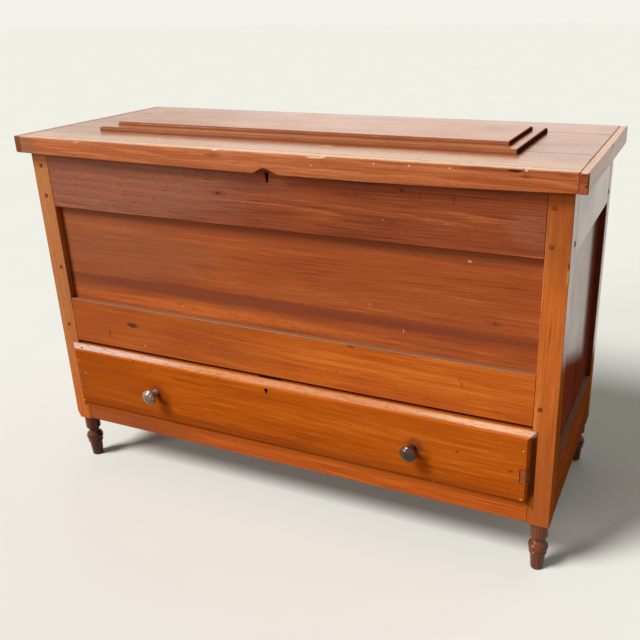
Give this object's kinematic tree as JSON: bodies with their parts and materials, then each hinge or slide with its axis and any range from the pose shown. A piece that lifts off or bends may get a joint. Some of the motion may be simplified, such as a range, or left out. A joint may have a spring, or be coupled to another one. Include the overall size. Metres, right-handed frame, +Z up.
{
  "type": "blanket chest",
  "caption": "Post-and-panel blanket chest on turned feet, with a hinged lid that carries a stepped raised panel and a long lipped drawer with turned knobs.",
  "frame": {"origin": "on the floor, under the middle of the bounding box", "axes": "+X along the length to the right as seen from the front, +Z up, front towards -Y"},
  "size_m": [1.27, 0.549, 0.8609],
  "materials": {
    "cherry_case": "old glossy varnish on reddish-brown cherry",
    "cherry_post": "old varnish on orange-brown cherry",
    "cherry_lid": "polished varnish on cherry, worn at the edges",
    "cherry_drawer": "old glossy varnish on orange-brown cherry",
    "dark_turned_wood": "dark glossy stain on turned wood",
    "patch_wood": "dull dark brown let-in wood",
    "inside_poplar": "unvarnished secondary wood, browned with age",
    "old_iron": "dark old iron"
  },
  "bodies": {
    "case": {"front_left_post": "cherry_post", "front_right_post": "cherry_post", "rear_left_post": "cherry_post", "rear_right_post": "cherry_post", "front_left_foot": "dark_turned_wood", "front_right_foot": "dark_turned_wood", "rear_left_foot": "dark_turned_wood", "rear_right_foot": "dark_turned_wood", "front_top_rail": "cherry_case", "front_panel": "cherry_case", "front_middle_rail": "cherry_case", "front_bottom_rail": "cherry_case", "left_top_rail": "cherry_case", "left_panel": "cherry_case", "left_bottom_rail": "cherry_case", "right_top_rail": "cherry_case", "right_panel": "cherry_case", "right_bottom_rail": "cherry_case", "back_top_rail": "inside_poplar", "back_panel": "inside_poplar", "back_bottom_rail": "inside_poplar", "front_floor_board": "inside_poplar", "rear_floor_board": "inside_poplar", "left_floor_ledger": "inside_poplar", "right_floor_ledger": "inside_poplar", "left_drawer_runner": "inside_poplar", "right_drawer_runner": "inside_poplar", "left_drawer_guide": "inside_poplar", "right_drawer_guide": "inside_poplar", "left_hinge_case_leaf": "old_iron", "right_hinge_case_leaf": "old_iron", "left_hinge_pin": "old_iron", "right_hinge_pin": "old_iron", "chest_lock_case": "old_iron"},
    "lid": {"lid_front_board": "cherry_lid", "lid_middle_board": "cherry_lid", "lid_rear_board": "cherry_lid", "lid_front_strip": "cherry_lid", "lid_left_end_strip": "cherry_lid", "lid_right_end_strip": "cherry_lid", "lid_lower_raised_panel": "cherry_lid", "lid_upper_raised_panel": "cherry_lid", "left_hinge_lid_leaf": "old_iron", "right_hinge_lid_leaf": "old_iron", "chest_lock_staple": "old_iron"},
    "drawer": {"drawer_front": "cherry_drawer", "drawer_left_side": "inside_poplar", "drawer_right_side": "inside_poplar", "drawer_back": "inside_poplar", "drawer_bottom": "inside_poplar", "drawer_left_knob": "dark_turned_wood", "drawer_right_knob": "dark_turned_wood", "drawer_left_patch": "patch_wood", "drawer_right_patch": "patch_wood", "drawer_lock_case": "old_iron"},
    "chest_bolt": {"chest_lock_bolt": "old_iron"},
    "drawer_bolt": {"drawer_lock_bolt": "old_iron"}
  },
  "joints": [
    {"name": "lid_hinge", "type": "hinge", "parent": "case", "child": "lid", "pos_m": [0, 0.2705, 0.82215], "axis": [-1, 0, 0], "range_deg": [0, 100]},
    {"name": "drawer_slide", "type": "slide", "parent": "case", "child": "drawer", "axis": [0, -1, 0], "range_m": [0, 0.35]},
    {"name": "chest_bolt_slide", "type": "slide", "parent": "case", "child": "chest_bolt", "axis": [1, 0, 0], "range_m": [0, 0.012]},
    {"name": "drawer_bolt_slide", "type": "slide", "parent": "drawer", "child": "drawer_bolt", "axis": [0, 0, 1], "range_m": [0, 0.015]}
  ]
}
